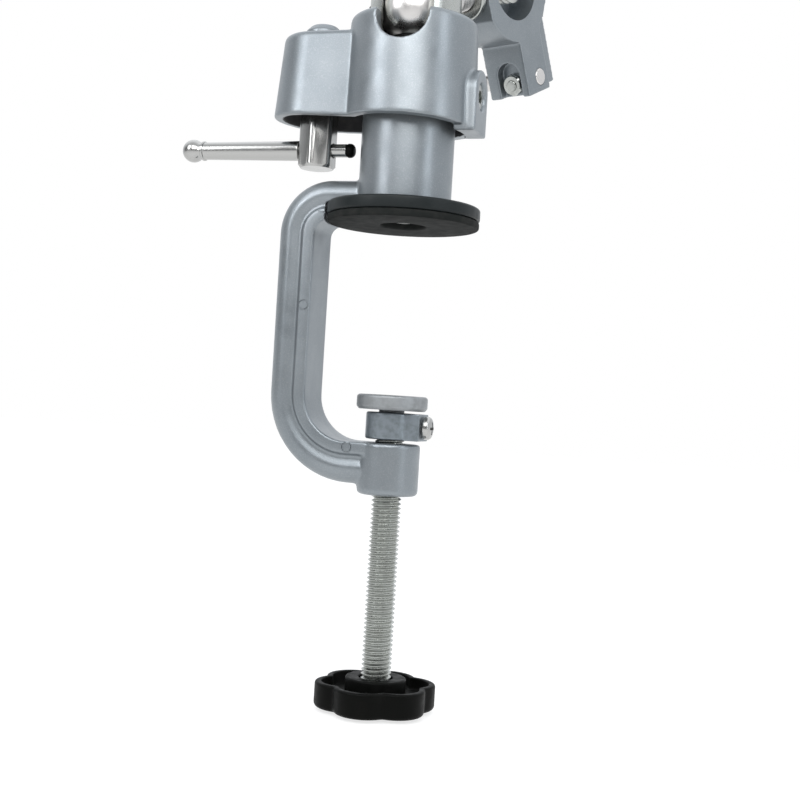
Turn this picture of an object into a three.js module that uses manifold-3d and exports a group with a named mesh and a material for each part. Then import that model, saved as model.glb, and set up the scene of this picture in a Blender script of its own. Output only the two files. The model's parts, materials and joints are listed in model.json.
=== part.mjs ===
// Table-clamp vise for circuit boards: a cast C-clamp, a ball joint locked by a tommy nut, and a small
// two-rod vise head. Millimetres, +Z up. The origin is the centre of the upper pad's underside, on the
// clamp screw's axis; +X points from the clamp's spine out over the table.
import * as THREE from "three";
import { mergeVertices } from "three/addons/utils/BufferGeometryUtils.js";
import { ConvexGeometry } from "three/addons/geometries/ConvexGeometry.js";
import Module from "manifold-3d";

const wasm = await Module();
wasm.setup();

// ---- driving dimensions -------------------------------------------------------------------------
const GAP = 0.3; // between faces that touch in the real object
const OVER = 1; // how far a cutting tool runs past a face, or joined solids reach into each other
const ROUND = 40; // sides of a large cylinder
const SMALL = 20; // sides of a small cylinder

const PAD_R = 25.2; // rubber pad and the plate behind it
const PAD_TOP = 2.4;
const PLATE_TOP = 6.7;
const PAD_HOLE_R = 7.5;

const FRAME = { thick: 14, innerX: -28, topInner: 0.6, bottomInner: -71.5, cornerR: 4, heelR: 15 };
const FLANGE = { inner: 4, groove: 6, edge: 12.4, innerHalf: 8.5, webHalf: 6.6, outerHalf: 7.7 };
const BOSS_R = 10.1;
const BOSS = { bottom: -88.6, top: FRAME.bottomInner };

const POST_R = 15.35;
const POST = { bottom: PLATE_TOP + GAP, neckBottom: 39, neckTop: 50, top: 57.6, neckR: 7, headR: 9.5 };
const PAD_SCREW = { r: 5.4, bottom: 3.2, top: 6.2, headFlats: 8, headBottom: 1.4, headTop: 3.6 };

const THREAD_R = 4.7; // M10 clamp screw, between root and crest
const DISC = { r: 11.7, bottom: -60.6, top: -55.7, stemR: 4.2, stemBottom: -66 };
const COLLAR = { r: 8.3, bottom: -70.3, top: -61.4, boreR: 5.2, lugX: 11.2, lugHalf: 5.4 };
const COLLAR_SCREW = { r: 1.7, tapR: 2, headR: 3.8, headX: COLLAR.lugX + GAP, headTop: 14.2, overlap: 0.7 };
const SCREW = { bottom: -156, top: DISC.stemBottom - GAP };
const KNOB = { bottom: -158.7, rimTop: -150.2, hubTop: -148.5, hubR: 10, lobes: 6, wall: 2.2, webDepth: 4 };
// The knob's radius rises from valley to peak by a power of a wave: broad lobes, narrow valleys.
const KNOB_OUTLINE = { valleyR: 16.3, rise: 3.7, blend: 0.03, power: 0.32 };
const KNOB_TURN = THREE.MathUtils.degToRad(-32.5); // where a lobe's peak stands

const BALL_Z = 71;
const BALL_R = 12.5;
const SEAT_R = BALL_R + GAP;
const HOUSING = {
  bottom: 31.5,
  rim: 33,
  top: 67.5,
  bottomR: 22.3,
  topR: 20.9,
  edge: 1.6,
  boreR: 18.6,
  wall: 3,
};
const RIM_SLOPE = THREE.MathUtils.degToRad(2.5); // the housing's underside rises towards the lobe
const LOBE = { x: -31.8, bottomR: 15.2, topR: 12.9, top: 62.5, bossR: 7.4, bossTop: 63.4 };
const RING = { r: 15, bottom: 61.5, top: 77, mouthR: 10.5 };
const CUP = { r: 9, topR: 8.4, top: 61.4, holeR: 3 };
const FRONT_NOTCH = { half: 8.6, bottom: 56.7, azimuth: -85 };
const BACK_NOTCH = { half: 10.5, bottom: 62.5, azimuth: 75 };
const EAR = { inner: 10, face: 24.4, half: 7.4, bottom: 30.4, top: 51 };
const PIVOT = { r: 2.6, z: 42.5, inner: 12.6, headR: 4.2, headLeft: 21.7, headRight: 23.6, socketFlats: 2.8 };

const YOKE = { bottom: 45.5, top: 49.7, right: 16.8, keyholeX: -13.5, eyeR: 8.4 };
const YOKE_SIDE = [[-15.2, 10.6], [YOKE.keyholeX, 12.2], [6, 13], [YOKE.right, 5]]; // corners on the +Y side
const STUD_R = 3.8;
const STUD = { headR: 6.2, rim: 1.2, crownR: 4.6, shoulder: 2.8, crown: 3.4, engaged: 12 };
const NUT = { flats: 11.5, bottom: 19, top: YOKE.bottom - GAP, chamfer: 1.6 };
const BAR = { z: 25.1, r: 3.35, endR: 2.95, ballR: 3.95, ballX: -77.8, stubR: 2.2, right: -21 };
const BAR_CAP = { r: BAR.stubR + GAP / 2, left: BAR.right + GAP, length: 2.3 };
const BAR_COLLAR = { left: BAR.ballX + 3.5, right: BAR.ballX + 4.5, r: 3.4 };

// The vise head has its own axes: x along the jaw travel, z along the ball's stem.
const HEAD_AZIMUTH = THREE.MathUtils.degToRad(69);
const HEAD_ELEVATION = THREE.MathUtils.degToRad(26);
const STEM_R = 4.8;
const STEM_TOP = 35.6;
const NECK = { r: 6, bottom: 8, top: 20 }; // plain neck between the ball and the thread
const LOCK_NUT = { r: 8.4, height: 3.1 };
const BODY = { left: -8.5, right: 8.5, half: 39.6, bottom: 45.5, top: 60, jawTop: 74.5, jawThick: 10 };
const SPINDLE = { z: 49, r: 6.6, boreR: 7.1, neckR: 4, tip: 8 };
// The round boss round the spindle: its recess opens to the right, its flat sits on the lock nut.
const HEAD_BOSS = { r: 20.6, recessR: 13, recessLeft: -2, flat: 31, stemHoleTop: 38.5 };
const POCKET = { x: 0.8, y: 31.6, r: 4.6, depth: 3.6, mouth: 10, nutY: 35.2, nutFlats: 7 };
const ROD = { y: 34.4, z: 54.4, r: 3, left: -61, right: BODY.right + GAP };
const CLIP = { r: 4.6, left: -60, thick: 1.2 };
const JAW_PLATE = { thick: 3, half: 39, bottom: 62, top: 74, grooveZ: 70, grooveDepth: 1.4 };
const OPENING = 20; // jaw plate to jaw plate at rest
const MOVING = { thick: 7, bossR: 11, bossProud: 0.5, barStep: 2, counterbore: 3 };
const HEAD_KNOB = { r: 10, length: 8, flutes: 8, fluteR: 3, fluteOut: 1.6, blindWall: 2 };

// ---- solids ---------------------------------------------------------------------------------------
function solid(geometry) {
  const bare = geometry.clone();
  bare.deleteAttribute("normal");
  bare.deleteAttribute("uv");
  const merged = mergeVertices(bare, 1e-4);
  return new wasm.Manifold(
    new wasm.Mesh({
      numProp: 3,
      vertProperties: new Float32Array(merged.attributes.position.array),
      triVerts: new Uint32Array(merged.index.array),
    }),
  );
}

function geometryOf(body) {
  const mesh = body.getMesh();
  const geometry = new THREE.BufferGeometry();
  geometry.setAttribute("position", new THREE.BufferAttribute(mesh.vertProperties, 3));
  geometry.setIndex(new THREE.BufferAttribute(mesh.triVerts, 1));
  geometry.computeVertexNormals();
  return geometry;
}

const joined = (...bodies) => bodies.reduce((all, body) => all.add(body));
const cut = (body, ...tools) => tools.reduce((left, tool) => left.subtract(tool), body);

// A cylinder or cone along Z.
function rod(r, bottom, top, { sides = ROUND, topR = r, x = 0, y = 0, turn = 0 } = {}) {
  const geometry = new THREE.CylinderGeometry(topR, r, top - bottom, sides);
  geometry.rotateX(Math.PI / 2).rotateZ(turn).translate(x, y, (top + bottom) / 2);
  return solid(geometry);
}

// A cylinder along X.
function rodX(r, left, right, { sides = SMALL, y = 0, z = 0 } = {}) {
  const geometry = new THREE.CylinderGeometry(r, r, right - left, sides);
  geometry.rotateZ(-Math.PI / 2).translate((left + right) / 2, y, z);
  return solid(geometry);
}

function block(x0, x1, y0, y1, z0, z1) {
  const geometry = new THREE.BoxGeometry(x1 - x0, y1 - y0, z1 - z0);
  return solid(geometry.translate((x0 + x1) / 2, (y0 + y1) / 2, (z0 + z1) / 2));
}

// A solid of revolution about Z from [radius, z] points that run upwards from axis to axis.
function turned(points, sides = ROUND) {
  const profile = points.map(([r, z]) => new THREE.Vector2(r, z));
  return solid(new THREE.LatheGeometry(profile, sides).rotateX(Math.PI / 2));
}

function ball(r, z, sides = 28) {
  return solid(new THREE.SphereGeometry(r, sides, sides / 2).rotateX(Math.PI / 2).translate(0, 0, z));
}

// A cylinder for a hole right through from one face to the other.
const through = (make, r, near, far, place) => make(r, near - OVER, far + OVER, place);

// A flat outline in the XY plane, standing from bottom to top.
function slab(shape, bottom, top, curveSegments = 8) {
  const depth = top - bottom;
  const geometry = new THREE.ExtrudeGeometry(shape, { depth, bevelEnabled: false, curveSegments });
  return solid(geometry.translate(0, 0, bottom));
}

function hexagon(flats, bottom, top, place = {}) {
  return rod(flats / Math.sqrt(3), bottom, top, { sides: 6, ...place });
}

// The hull of two stadium outlines, each reaching from x to 0, for a tapered lobe.
function lobeHull(x, levels) {
  const points = [];
  for (const [r, z] of levels) {
    for (let i = 0; i <= SMALL; i++) {
      const angle = Math.PI / 2 + (Math.PI * i) / SMALL;
      points.push(new THREE.Vector3(x + r * Math.cos(angle), r * Math.sin(angle), z));
    }
    points.push(new THREE.Vector3(0, r, z), new THREE.Vector3(0, -r, z));
  }
  return solid(new ConvexGeometry(points));
}

// ---- the group -----------------------------------------------------------------------------------------
const FINISH = {
  cast: { color: 0x9b9b9e, roughness: 0.5, metalness: 0.35 },
  black: { color: 0x1a1a1c, roughness: 0.55, metalness: 0 },
  rubber: { color: 0x202022, roughness: 0.85, metalness: 0 },
  chrome: { color: 0xd5d5d8, roughness: 0.15, metalness: 1 },
  zinc: { color: 0xb9bbbd, roughness: 0.35, metalness: 0.9 },
};
const materials = {};
for (const [name, look] of Object.entries(FINISH)) materials[name] = new THREE.MeshStandardMaterial(look);

const vise = new THREE.Group();
const head = new THREE.Group();

function add(name, body, finish, group = vise) {
  const mesh = new THREE.Mesh(geometryOf(body), materials[finish]);
  mesh.name = name;
  group.add(mesh);
}

// ---- C-clamp -------------------------------------------------------------------------------------------
// One band of the C, between two distances from its inner face, as an outline in X and Z.
function frameBand(near, far) {
  const { innerX, topInner, bottomInner, cornerR, heelR } = FRAME;
  const cornerX = innerX + cornerR;
  const cornerZ = topInner - cornerR;
  const heelX = innerX + heelR;
  const heelZ = bottomInner + heelR;
  const shape = new THREE.Shape();
  shape.moveTo(0, topInner + near);
  shape.lineTo(0, topInner + far);
  shape.absarc(cornerX, cornerZ, cornerR + far, Math.PI / 2, Math.PI, false);
  shape.absarc(heelX, heelZ, heelR + far, Math.PI, 1.5 * Math.PI, false);
  shape.lineTo(0, bottomInner - far);
  shape.lineTo(0, bottomInner - near);
  shape.absarc(heelX, heelZ, heelR + near, 1.5 * Math.PI, Math.PI, true);
  shape.absarc(cornerX, cornerZ, cornerR + near, Math.PI, Math.PI / 2, true);
  return shape;
}

function bandSolid(near, far, half) {
  const geometry = new THREE.ExtrudeGeometry(frameBand(near, far), {
    depth: 2 * half,
    bevelEnabled: false,
    curveSegments: 8,
  });
  return solid(geometry.translate(0, 0, -half).rotateX(Math.PI / 2));
}

function clampFrame() {
  const c = joined(
    bandSolid(0, FLANGE.inner, FLANGE.innerHalf),
    bandSolid(0, FLANGE.edge, FLANGE.webHalf),
    bandSolid(FLANGE.groove, FLANGE.edge, FLANGE.outerHalf),
    bandSolid(FLANGE.groove, FRAME.thick, FLANGE.webHalf),
  );
  const post = turned([
    [0, POST.bottom],
    [POST_R, POST.bottom],
    [POST_R, POST.neckBottom],
    [POST.neckR, POST.neckBottom],
    [POST.neckR, POST.neckTop],
    [POST.headR, POST.neckTop],
    [POST.headR, POST.top],
    [0, POST.top],
  ]);
  const chamfer = 1.2;
  const boss = turned([
    [0, BOSS.bottom],
    [BOSS_R - chamfer, BOSS.bottom],
    [BOSS_R, BOSS.bottom + chamfer],
    [BOSS_R, BOSS.top - chamfer / 2],
    [BOSS_R - chamfer / 2, BOSS.top],
    [0, BOSS.top],
  ]);
  return cut(
    joined(c, post, boss),
    rod(PAD_R + 2 * GAP, FRAME.topInner - FRAME.thick, POST.bottom),
    through(rod, THREAD_R + GAP, BOSS.bottom, BOSS.top, { sides: SMALL }),
  );
}

// A flat ring, by outer and inner radius.
const washer = (outer, inner, bottom, top) => cut(rod(outer, bottom, top), through(rod, inner, bottom, top));

// The knob's lobed outline, a distance inside its edge.
function knobOutline(inset) {
  const { valleyR, rise, blend, power } = KNOB_OUTLINE;
  const outline = new THREE.Shape();
  const steps = 96;
  for (let i = 0; i < steps; i++) {
    const angle = (2 * Math.PI * i) / steps;
    const wave = Math.cos((KNOB.lobes / 2) * (angle - KNOB_TURN)) ** 2;
    const r = valleyR + rise * (wave + blend) ** power - inset;
    const point = [r * Math.cos(angle), r * Math.sin(angle)];
    if (i === 0) outline.moveTo(...point);
    else outline.lineTo(...point);
  }
  return outline;
}

function starKnob() {
  const rim = slab(knobOutline(0), KNOB.bottom, KNOB.rimTop);
  const recess = slab(knobOutline(KNOB.wall), KNOB.rimTop - KNOB.webDepth, KNOB.rimTop + OVER);
  const hub = rod(KNOB.hubR, KNOB.bottom + OVER, KNOB.hubTop);
  const hole = rod(THREAD_R + 3 * GAP, SCREW.bottom - GAP, KNOB.hubTop + OVER, { sides: SMALL });
  return cut(joined(cut(rim, recess), hub), hole);
}

const collarZ = (COLLAR.bottom + COLLAR.top) / 2;

function discCollar() {
  const { r, bottom, top, boreR, lugX, lugHalf } = COLLAR;
  const body = joined(rod(r, bottom, top), block(0, lugX, -lugHalf, lugHalf, bottom, top));
  return cut(
    body,
    through(rod, boreR, bottom, top, { sides: SMALL }),
    rodX(COLLAR_SCREW.tapR, 0, lugX + OVER, { sides: 16, z: collarZ }),
  );
}

function collarScrew() {
  const { r, headR, headX, headTop, overlap } = COLLAR_SCREW;
  return joined(
    rodX(r, THREAD_R + GAP, headX + overlap, { sides: 16, z: collarZ }),
    rodX(headR, headX, headTop, { z: collarZ }),
  );
}

function padScrew() {
  const { r, bottom, top, headFlats, headBottom, headTop } = PAD_SCREW;
  return joined(rod(r, bottom, top, { sides: SMALL }), hexagon(headFlats, headBottom, headTop));
}

function swivelDisc() {
  return joined(rod(DISC.r, DISC.bottom, DISC.top), rod(DISC.stemR, DISC.stemBottom, DISC.top - OVER));
}

add("clamp_frame", clampFrame(), "cast");
add("pad_plate", washer(PAD_R, PAD_HOLE_R, PAD_TOP + GAP, PLATE_TOP), "black");
add("top_pad", washer(PAD_R, PAD_HOLE_R, 0, PAD_TOP), "rubber");
add("pad_screw", padScrew(), "zinc");
add("clamp_screw", rod(THREAD_R, SCREW.bottom, SCREW.top, { sides: SMALL }), "zinc");
add("star_knob", starKnob(), "black");
add("swivel_disc", swivelDisc(), "cast");
add("disc_collar", discCollar(), "cast");
add("collar_screw", collarScrew(), "chrome");

// ---- ball housing ----------------------------------------------------------------------------------------
// A slot through a wall, with a round bottom, open upwards, on one side of the axis.
function notch({ half, bottom, azimuth }) {
  const shape = new THREE.Shape();
  const top = RING.top + OVER;
  const reach = 2 * HOUSING.bottomR;
  shape.moveTo(half, top);
  shape.lineTo(-half, top);
  shape.lineTo(-half, bottom + half);
  shape.absarc(0, bottom + half, half, Math.PI, 2 * Math.PI, false);
  const geometry = new THREE.ExtrudeGeometry(shape, { depth: reach, bevelEnabled: false, curveSegments: 8 });
  geometry.rotateX(Math.PI / 2).rotateZ(THREE.MathUtils.degToRad(azimuth + 90));
  return solid(geometry);
}

// Everything under the housing's sloping rim.
function underRim() {
  const span = 4 * HOUSING.bottomR;
  const geometry = new THREE.BoxGeometry(2 * span, span, span).translate(0, 0, -span / 2);
  return solid(geometry.rotateY(RIM_SLOPE).translate(0, 0, HOUSING.rim));
}

function earBlock() {
  const shape = new THREE.Shape();
  shape.moveTo(-EAR.half, EAR.bottom);
  shape.lineTo(EAR.half, EAR.bottom);
  shape.absarc(0, EAR.top - EAR.half, EAR.half, 0, Math.PI, false);
  const geometry = new THREE.ExtrudeGeometry(shape, { depth: EAR.face - EAR.inner, bevelEnabled: false });
  return solid(geometry.rotateX(Math.PI / 2).rotateZ(Math.PI / 2).translate(EAR.inner, 0, 0));
}

function housing() {
  const { bottom, top, bottomR, topR, boreR, wall, edge } = HOUSING;
  const barrel = turned([
    [0, bottom],
    [bottomR, bottom],
    [topR, top - edge],
    [topR - edge, top],
    [0, top],
  ]);
  const lobe = lobeHull(LOBE.x, [
    [LOBE.bottomR, bottom],
    [LOBE.topR, LOBE.top - edge],
    [LOBE.topR - edge, LOBE.top],
  ]);
  const studBoss = rod(LOBE.bossR, LOBE.top - OVER, LOBE.bossTop, { sides: SMALL, x: LOBE.x });
  const roof = RING.bottom - OVER;
  const lobeHollow = lobeHull(LOBE.x, [
    [LOBE.bottomR - wall, bottom - OVER],
    [LOBE.topR - wall, LOBE.top - wall],
  ]);
  return cut(
    joined(cut(joined(barrel, lobe, studBoss), underRim()), earBlock()),
    rod(boreR, EAR.bottom - OVER, roof),
    lobeHollow,
    rod(RING.r + GAP, roof - OVER, top + OVER),
    through(rod, STUD_R + GAP, LOBE.top - wall, LOBE.bossTop, { sides: SMALL, x: LOBE.x }),
    rodX(PIVOT.r + GAP, EAR.inner, EAR.face, { z: PIVOT.z }),
    rodX(PIVOT.headR + GAP, PIVOT.headLeft - GAP, EAR.face + OVER, { z: PIVOT.z }),
    notch(FRONT_NOTCH),
    notch(BACK_NOTCH),
  );
}

function retainingRing() {
  return cut(
    rod(RING.r, RING.bottom, RING.top),
    rod(SEAT_R, RING.bottom - OVER, BALL_Z),
    ball(SEAT_R, BALL_Z),
    rod(RING.mouthR, BALL_Z, RING.top + OVER),
    notch(FRONT_NOTCH),
    notch(BACK_NOTCH),
  );
}

function seatCup() {
  const cup = rod(CUP.r, POST.top + GAP, CUP.top, { sides: 32, topR: CUP.topR });
  return cut(cup, ball(SEAT_R, BALL_Z), through(rod, CUP.holeR, POST.top, CUP.top, { sides: SMALL }));
}

// The lever inside the housing: the tommy nut lifts its left end, the pivot screw carries its right end,
// and its middle pulls on the post's head. A keyhole lets it pass over that head.
function yoke() {
  const { bottom, top, keyholeX, eyeR } = YOKE;
  const shape = new THREE.Shape();
  shape.absarc(LOBE.x, 0, eyeR, Math.PI / 2, 1.5 * Math.PI, false);
  for (const [x, y] of YOKE_SIDE) shape.lineTo(x, -y);
  for (const [x, y] of YOKE_SIDE.toReversed()) shape.lineTo(x, y);
  const slotHalf = POST.neckR + GAP;
  return cut(
    slab(shape, bottom, top),
    through(rod, slotHalf, bottom, top, { sides: 32 }),
    block(keyholeX, 0, -slotHalf, slotHalf, bottom - OVER, top + OVER),
    through(rod, POST.headR + GAP, bottom, top, { sides: 32, x: keyholeX }),
    through(rod, STUD_R + GAP, bottom, top, { sides: SMALL, x: LOBE.x }),
  );
}

function stud() {
  const { headR, rim, crownR, shoulder, crown, engaged } = STUD;
  const seat = LOBE.bossTop + GAP;
  const profile = [
    [0, NUT.top - engaged],
    [STUD_R, NUT.top - engaged],
    [STUD_R, seat],
    [headR, seat],
    [headR, seat + rim],
    [crownR, seat + shoulder],
    [0, seat + crown],
  ];
  return turned(profile, SMALL).translate([LOBE.x, 0, 0]);
}

function tommyNut() {
  const { flats, bottom, top, chamfer } = NUT;
  const coneRise = top - bottom;
  const place = { sides: 32, x: LOBE.x };
  const cone = rod(flats / Math.sqrt(3) - chamfer, bottom, top, { ...place, topR: flats + coneRise });
  return cut(
    hexagon(flats, bottom, top, { x: LOBE.x }).intersect(cone),
    rodX(BAR.stubR + GAP, LOBE.x - flats, LOBE.x + flats, { z: BAR.z }),
    rod(STUD_R + GAP, top - STUD.engaged - GAP, top + OVER, { sides: SMALL, x: LOBE.x }),
  );
}

// The lever screwed through the nut: ball end, collar, tapered shank, shoulder and thin threaded stub.
function tommyBar() {
  const shoulder = LOBE.x - NUT.flats / 2 - GAP;
  const profile = [];
  const steps = 8;
  const neckAngle = Math.asin(BAR.endR / BAR.ballR);
  for (let i = 0; i <= steps; i++) {
    const angle = Math.PI - ((Math.PI - neckAngle) * i) / steps;
    profile.push([i === 0 ? 0 : BAR.ballR * Math.sin(angle), BAR.ballX + BAR.ballR * Math.cos(angle)]);
  }
  const { left, right, r } = BAR_COLLAR;
  profile.push([BAR.endR, left], [r, left], [r, right], [BAR.endR, right]);
  profile.push([BAR.r, shoulder], [BAR.stubR, shoulder], [BAR.stubR, BAR.right], [0, BAR.right]);
  const points = profile.map(([radius, x]) => new THREE.Vector2(radius, x));
  return solid(new THREE.LatheGeometry(points, SMALL).rotateZ(-Math.PI / 2).translate(0, 0, BAR.z));
}

// The screw in the ear, its head sunk flush in a counterbore.
function pivotScrew() {
  const { r, z, inner, headR, headLeft, headRight, socketFlats } = PIVOT;
  return cut(
    joined(rodX(r, inner, headLeft + GAP, { z }), rodX(headR, headLeft, headRight, { z })),
    rodX(socketFlats / Math.sqrt(3), headLeft + GAP, headRight + OVER, { sides: 6, z }),
  );
}

add("housing", housing(), "cast");
add("retaining_ring", retainingRing(), "zinc");
add("seat_cup", seatCup(), "black");
add("clamp_yoke", yoke(), "zinc");
add("clamp_stud", stud(), "zinc");
add("pivot_screw", pivotScrew(), "zinc");
add("tommy_nut", tommyNut(), "chrome");
add("tommy_bar", tommyBar(), "chrome");
add("bar_end_cap", rodX(BAR_CAP.r, BAR_CAP.left, BAR_CAP.left + BAR_CAP.length, { z: BAR.z }), "black");

// ---- ball stud ------------------------------------------------------------------------------------------
function ballStud() {
  const neck = rod(NECK.r, NECK.bottom, NECK.top, { sides: SMALL });
  const stem = rod(STEM_R, NECK.top - OVER, STEM_TOP, { sides: SMALL });
  return joined(ball(BALL_R, 0), neck, stem);
}

add("ball_stud", ballStud(), "chrome", head);
const lockNutTop = HEAD_BOSS.flat - GAP;
add("lock_nut", washer(LOCK_NUT.r, STEM_R + GAP, lockNutTop - LOCK_NUT.height, lockNutTop), "zinc", head);

// ---- vise head ------------------------------------------------------------------------------------------
const movingFace = BODY.left - 2 * JAW_PLATE.thick - 2 * GAP - OPENING;
const movingBack = movingFace - MOVING.thick;

// Whatever stands twice, once on each side of the spindle.
const pair = (make) => joined(make(1), make(-1));
const rodPlace = (side) => ({ y: side * ROD.y, z: ROD.z });
const rodHoles = (left, right) => pair((side) => through(rodX, ROD.r + GAP, left, right, rodPlace(side)));

// A jaw's cross bar, with the jaw itself standing on the side next to the opening.
function jawBar(left, right, jawLeft, jawRight) {
  const { half, bottom, top, jawTop } = BODY;
  const jaw = block(jawLeft, jawRight, -half, half, top - OVER, jawTop);
  return joined(block(left, right, -half, half, bottom, top), jaw);
}

function boltPocket(side) {
  const { x, r, depth, mouth } = POCKET;
  const y = side * POCKET.y;
  const [near, far] = side > 0 ? [y, y + mouth] : [y - mouth, y];
  const bottom = BODY.bottom - OVER;
  const top = BODY.bottom + depth;
  return joined(rod(r, bottom, top, { sides: SMALL, x, y }), block(x - r, x + r, near, far, bottom, top));
}

function spindleBoss() {
  const { left, right } = BODY;
  const { r, flat } = HEAD_BOSS;
  const round = rodX(r, left, right, { sides: 56, z: SPINDLE.z });
  return round.subtract(block(left - OVER, right + OVER, -r, r, SPINDLE.z - r - OVER, flat));
}

function viseBody() {
  const { left, right, jawThick } = BODY;
  const { z, boreR } = SPINDLE;
  return cut(
    joined(jawBar(left, right, left, left + jawThick), spindleBoss()),
    through(rodX, boreR, left, right, { sides: 32, z }),
    rodX(HEAD_BOSS.recessR, HEAD_BOSS.recessLeft, right + OVER, { sides: 40, z }),
    rod(STEM_R + GAP, HEAD_BOSS.flat - OVER, HEAD_BOSS.stemHoleTop, { sides: SMALL }),
    rodHoles(left, right),
    pair(boltPocket),
  );
}

const bossBack = movingBack - MOVING.bossProud;

function movingJaw() {
  const { z, r, neckR } = SPINDLE;
  return cut(
    joined(
      jawBar(movingBack, movingFace, movingBack + MOVING.barStep, movingFace),
      rodX(MOVING.bossR, bossBack, movingFace, { sides: 40, z }),
    ),
    through(rodX, neckR + GAP, bossBack, movingFace, { z }),
    rodX(r + 2 * GAP, movingFace - MOVING.counterbore, movingFace + OVER, { z }),
    rodHoles(movingBack, movingFace),
  );
}

// A jaw plate with a V-groove along its face. way is 1 where the face looks towards +X.
function jawPlate(back, way) {
  const { thick, half, bottom, top, grooveZ, grooveDepth } = JAW_PLATE;
  const face = back + way * thick;
  const profile = new THREE.Shape();
  profile.moveTo(back, bottom);
  profile.lineTo(face, bottom);
  profile.lineTo(face, grooveZ - grooveDepth);
  profile.lineTo(face - way * grooveDepth, grooveZ);
  profile.lineTo(face, grooveZ + grooveDepth);
  profile.lineTo(face, top);
  profile.lineTo(back, top);
  const geometry = new THREE.ExtrudeGeometry(profile, { depth: 2 * half, bevelEnabled: false });
  return solid(geometry.translate(0, 0, -half).rotateX(Math.PI / 2));
}

// The spindle: thread from its tip, and a thin neck through the moving jaw into the knob.
function spindle() {
  const { z, r, neckR, tip } = SPINDLE;
  const threadEnd = movingFace - MOVING.counterbore + GAP;
  const neckEnd = bossBack - HEAD_KNOB.length + HEAD_KNOB.blindWall;
  return joined(rodX(r, threadEnd, tip, { z }), rodX(neckR, neckEnd, threadEnd + OVER, { z }));
}

function spindleKnob() {
  const { r, length, flutes, fluteR, fluteOut, blindWall } = HEAD_KNOB;
  const right = bossBack - GAP;
  const left = right - length;
  const reach = r + fluteOut;
  let knob = rodX(r, left, right, { sides: 40, z: SPINDLE.z });
  for (let i = 0; i < flutes; i++) {
    const angle = (2 * Math.PI * (i + 0.5)) / flutes;
    const place = { y: reach * Math.cos(angle), z: SPINDLE.z + reach * Math.sin(angle), sides: 16 };
    knob = cut(knob, through(rodX, fluteR, left, right, place));
  }
  return cut(knob, rodX(SPINDLE.neckR + GAP, left + blindWall - GAP, right + OVER, { z: SPINDLE.z }));
}

const guideRod = (side) => rodX(ROD.r, ROD.left, ROD.right, rodPlace(side));

function rodClip(side) {
  const right = CLIP.left + CLIP.thick;
  const hole = through(rodX, ROD.r + GAP / 2, CLIP.left, right, rodPlace(side));
  return cut(rodX(CLIP.r, CLIP.left, right, rodPlace(side)), hole);
}

function jawNut(side) {
  const place = { x: POCKET.x, y: side * POCKET.nutY };
  return hexagon(POCKET.nutFlats, BODY.bottom + OVER, BODY.bottom + POCKET.depth - GAP, place);
}

add("vise_body", viseBody(), "cast", head);
add("guide_rod_lower", guideRod(1), "chrome", head);
add("guide_rod_upper", guideRod(-1), "chrome", head);
add("rod_clip_lower", rodClip(1), "zinc", head);
add("rod_clip_upper", rodClip(-1), "zinc", head);
add("jaw_nut_lower", jawNut(1), "zinc", head);
add("jaw_nut_upper", jawNut(-1), "zinc", head);
add("fixed_jaw_plate", jawPlate(BODY.left - GAP, -1), "zinc", head);
add("moving_jaw", movingJaw(), "cast", head);
add("moving_jaw_plate", jawPlate(movingFace + GAP, 1), "zinc", head);
add("spindle", spindle(), "zinc", head);
add("spindle_knob", spindleKnob(), "black", head);

const basis = new THREE.Matrix4();
const travel = new THREE.Vector3(Math.sin(HEAD_AZIMUTH), -Math.cos(HEAD_AZIMUTH), 0);
const stemWay = new THREE.Vector3(
  Math.cos(HEAD_AZIMUTH) * Math.cos(HEAD_ELEVATION),
  Math.sin(HEAD_AZIMUTH) * Math.cos(HEAD_ELEVATION),
  Math.sin(HEAD_ELEVATION),
);
basis.makeBasis(travel, new THREE.Vector3().crossVectors(stemWay, travel), stemWay);
head.setRotationFromMatrix(basis);
head.position.set(0, 0, BALL_Z);
vise.add(head);

export default vise;
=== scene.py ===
"""Looks of a small table-clamp vise for circuit boards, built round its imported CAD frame.

Lengths in this script are millimetres, in the CAD's own axes, and become metres when a mesh is made.
"""

import json
import math

import bpy
from mathutils import Matrix, Vector


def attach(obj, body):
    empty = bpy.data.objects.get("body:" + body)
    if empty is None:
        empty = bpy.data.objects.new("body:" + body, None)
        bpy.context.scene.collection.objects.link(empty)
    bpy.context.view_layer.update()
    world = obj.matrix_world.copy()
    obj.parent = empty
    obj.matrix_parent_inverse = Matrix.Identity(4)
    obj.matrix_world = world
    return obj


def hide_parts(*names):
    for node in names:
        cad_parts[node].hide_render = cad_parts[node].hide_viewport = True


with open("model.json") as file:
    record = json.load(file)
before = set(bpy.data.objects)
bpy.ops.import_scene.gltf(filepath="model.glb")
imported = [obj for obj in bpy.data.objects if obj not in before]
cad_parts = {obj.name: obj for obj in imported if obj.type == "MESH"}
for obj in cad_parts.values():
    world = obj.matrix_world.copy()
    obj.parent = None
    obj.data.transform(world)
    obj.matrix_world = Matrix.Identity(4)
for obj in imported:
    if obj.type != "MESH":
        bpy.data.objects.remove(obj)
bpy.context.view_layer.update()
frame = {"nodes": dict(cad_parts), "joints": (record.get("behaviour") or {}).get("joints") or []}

MM = 0.001
FINE = 128  # sides of a large turned piece
SMALL = 64  # sides of a small one
THREAD_DEPTH = 0.6  # share of the pitch

# ---- places taken from the frame ------------------------------------------------------------------
joints = {joint["name"]: joint for joint in frame["joints"]}
TRAVEL = Vector(joints["jaw_travel"]["axis"])
STEM = Vector(joints["head_spin"]["axis"])
BALL = Vector(joints["ball_tilt"]["pos_m"]) / MM

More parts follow.
